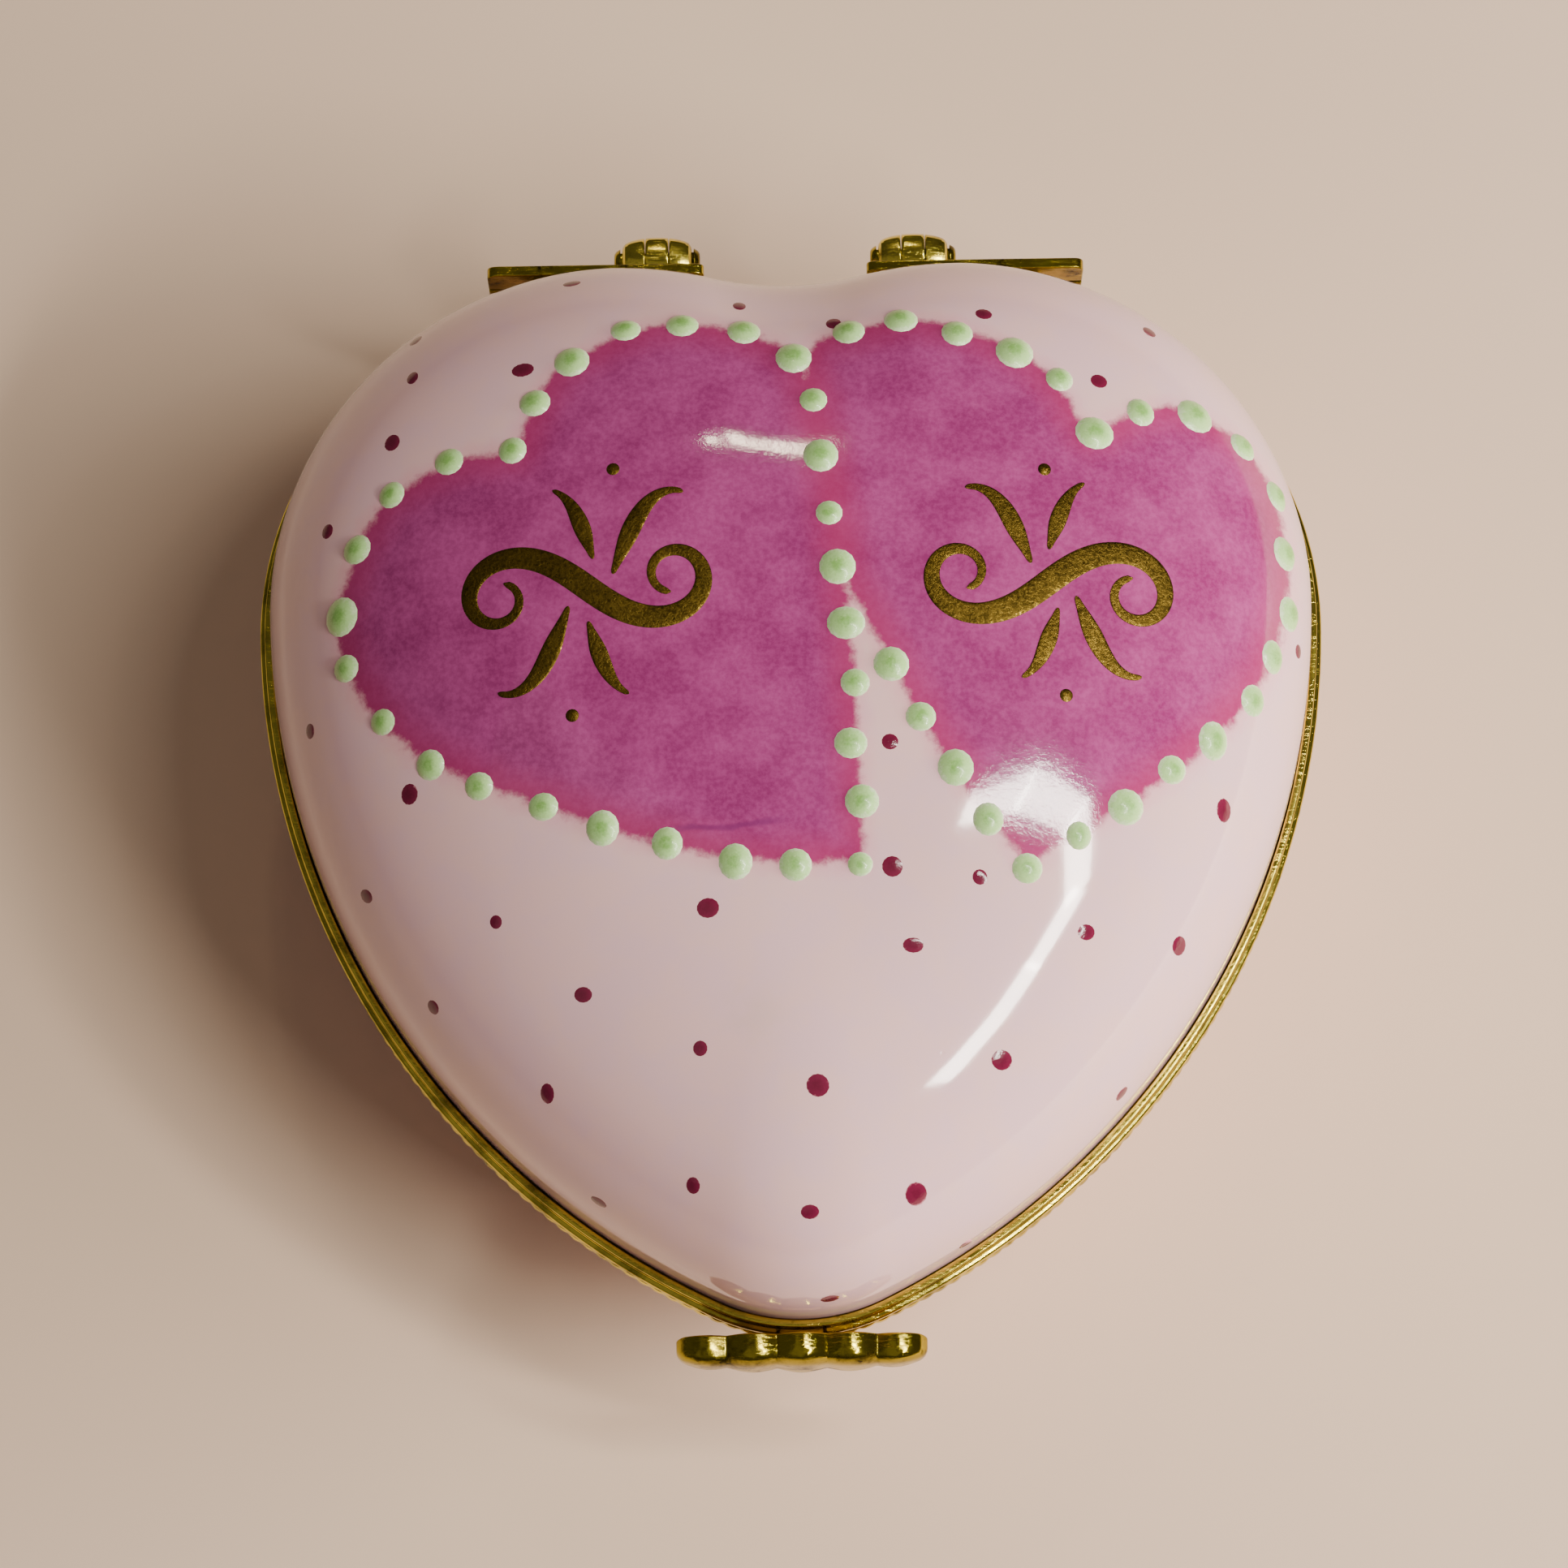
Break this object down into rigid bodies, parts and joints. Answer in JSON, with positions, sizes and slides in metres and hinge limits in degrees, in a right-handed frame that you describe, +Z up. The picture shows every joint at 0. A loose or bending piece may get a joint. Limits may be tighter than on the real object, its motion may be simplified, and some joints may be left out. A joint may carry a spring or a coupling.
{
  "type": "trinket box",
  "caption": "Heart-shaped porcelain trinket box with a domed lid, brass rims, hinges behind the lobes and a fluted clasp at the point.",
  "frame": {"origin": "on the surface it stands on, under the middle of the closed box's overall width and depth", "axes": "+Z up; +X across the heart to the right; -Y towards the heart's point and the clasp; +Y towards the lobes and the hinges"},
  "size_m": [0.058, 0.0638, 0.0315],
  "materials": {
    "porcelain": "clear gloss glaze over a pale lilac-pink ground",
    "brass": "polished brass, darkened in its recesses"
  },
  "bodies": {
    "base": {"base_porcelain": "porcelain", "base_rim": "brass", "clasp_lower_shell": "brass", "clasp_nib": "brass", "left_hinge_base_leaf": "brass", "left_hinge_base_knuckle_inner": "brass", "left_hinge_base_knuckle_outer": "brass", "left_hinge_pin": "brass", "right_hinge_base_leaf": "brass", "right_hinge_base_knuckle_inner": "brass", "right_hinge_base_knuckle_outer": "brass", "right_hinge_pin": "brass"},
    "lid": {"lid_porcelain": "porcelain", "lid_rim": "brass", "clasp_upper_shell": "brass", "clasp_tongue": "brass", "left_hinge_lid_leaf": "brass", "left_hinge_lid_knuckle": "brass", "right_hinge_lid_leaf": "brass", "right_hinge_lid_knuckle": "brass"}
  },
  "joints": [
    {"name": "lid_hinge", "type": "hinge", "parent": "base", "child": "lid", "pos_m": [0, 0.03055, 0.0145], "axis": [-1, 0, 0], "range_deg": [0, 100]}
  ]
}
